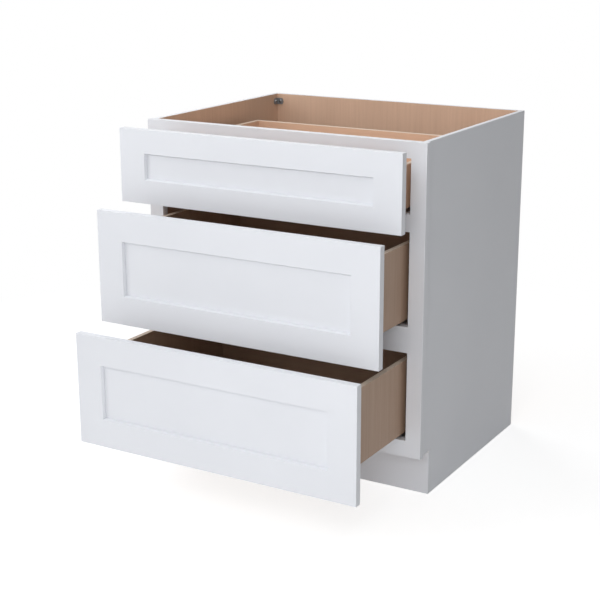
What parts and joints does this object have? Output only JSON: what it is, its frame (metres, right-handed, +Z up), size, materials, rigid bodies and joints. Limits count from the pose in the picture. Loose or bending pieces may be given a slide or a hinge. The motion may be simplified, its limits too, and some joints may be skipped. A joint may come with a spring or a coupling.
{
  "type": "base cabinet with drawers",
  "caption": "White face-frame kitchen base cabinet with shaker drawers on full-extension undermount slides, drawn out in steps.",
  "frame": {"origin": "on the floor, at the middle of the toe board's foot (centred on its width and its thickness)", "axes": "+Z up, +Y towards the wall, +X to the right for someone facing the drawer fronts"},
  "size_m": [0.7746, 0.9286, 0.8763],
  "materials": {
    "white_paint": "satin white paint",
    "natural_veneer": "clear-coated natural veneer on plywood",
    "zinc_steel": "zinc plated, satin",
    "dark_steel": "dark grey, satin"
  },
  "bodies": {
    "cabinet": {"side_panel_left": "white_paint", "side_panel_right": "white_paint", "back_panel": "natural_veneer", "cabinet_floor": "natural_veneer", "toe_board": "white_paint", "corner_bracket": "dark_steel", "frame_stile_left": "white_paint", "frame_stile_right": "white_paint", "frame_rail_top": "white_paint", "frame_rail_upper": "white_paint", "frame_rail_lower": "white_paint", "frame_rail_bottom": "white_paint", "top_slide_left_outer": "zinc_steel", "top_slide_right_outer": "zinc_steel", "middle_slide_left_outer": "zinc_steel", "middle_slide_right_outer": "zinc_steel", "bottom_slide_left_outer": "zinc_steel", "bottom_slide_right_outer": "zinc_steel"},
    "top_drawer": {"top_front_stile_left": "white_paint", "top_front_stile_right": "white_paint", "top_front_rail_upper": "white_paint", "top_front_rail_lower": "white_paint", "top_front_panel": "white_paint", "top_box_side_left": "natural_veneer", "top_box_side_right": "natural_veneer", "top_box_front": "natural_veneer", "top_box_back": "natural_veneer", "top_box_bottom": "natural_veneer", "top_slide_left_inner": "zinc_steel", "top_slide_right_inner": "zinc_steel"},
    "top_slide_middles": {"top_slide_left_middle": "zinc_steel", "top_slide_right_middle": "zinc_steel"},
    "middle_drawer": {"middle_front_stile_left": "white_paint", "middle_front_stile_right": "white_paint", "middle_front_rail_upper": "white_paint", "middle_front_rail_lower": "white_paint", "middle_front_panel": "white_paint", "middle_box_side_left": "natural_veneer", "middle_box_side_right": "natural_veneer", "middle_box_front": "natural_veneer", "middle_box_back": "natural_veneer", "middle_box_bottom": "natural_veneer", "middle_slide_left_inner": "zinc_steel", "middle_slide_right_inner": "zinc_steel"},
    "middle_slide_middles": {"middle_slide_left_middle": "zinc_steel", "middle_slide_right_middle": "zinc_steel"},
    "bottom_drawer": {"bottom_front_stile_left": "white_paint", "bottom_front_stile_right": "white_paint", "bottom_front_rail_upper": "white_paint", "bottom_front_rail_lower": "white_paint", "bottom_front_panel": "white_paint", "bottom_box_side_left": "natural_veneer", "bottom_box_side_right": "natural_veneer", "bottom_box_front": "natural_veneer", "bottom_box_back": "natural_veneer", "bottom_box_bottom": "natural_veneer", "bottom_slide_left_inner": "zinc_steel", "bottom_slide_right_inner": "zinc_steel"},
    "bottom_slide_middles": {"bottom_slide_left_middle": "zinc_steel", "bottom_slide_right_middle": "zinc_steel"}
  },
  "joints": [
    {"name": "top_drawer_slide", "type": "slide", "parent": "cabinet", "child": "top_drawer", "axis": [0, -1, 0], "range_m": [-0.0985, 0.4349]},
    {"name": "top_middle_slide", "type": "slide", "parent": "cabinet", "child": "top_slide_middles", "axis": [0, -1, 0], "range_m": [-0.04925, 0.21745]},
    {"name": "middle_drawer_slide", "type": "slide", "parent": "cabinet", "child": "middle_drawer", "axis": [0, -1, 0], "range_m": [-0.1985, 0.3349]},
    {"name": "middle_middle_slide", "type": "slide", "parent": "cabinet", "child": "middle_slide_middles", "axis": [0, -1, 0], "range_m": [-0.09925, 0.16745]},
    {"name": "bottom_drawer_slide", "type": "slide", "parent": "cabinet", "child": "bottom_drawer", "axis": [0, -1, 0], "range_m": [-0.2985, 0.2349]},
    {"name": "bottom_middle_slide", "type": "slide", "parent": "cabinet", "child": "bottom_slide_middles", "axis": [0, -1, 0], "range_m": [-0.14925, 0.11745]}
  ],
  "couplings": [
    {"joint": "top_middle_slide", "follows": "top_drawer_slide", "ratio": 0.5},
    {"joint": "middle_middle_slide", "follows": "middle_drawer_slide", "ratio": 0.5},
    {"joint": "bottom_middle_slide", "follows": "bottom_drawer_slide", "ratio": 0.5}
  ]
}
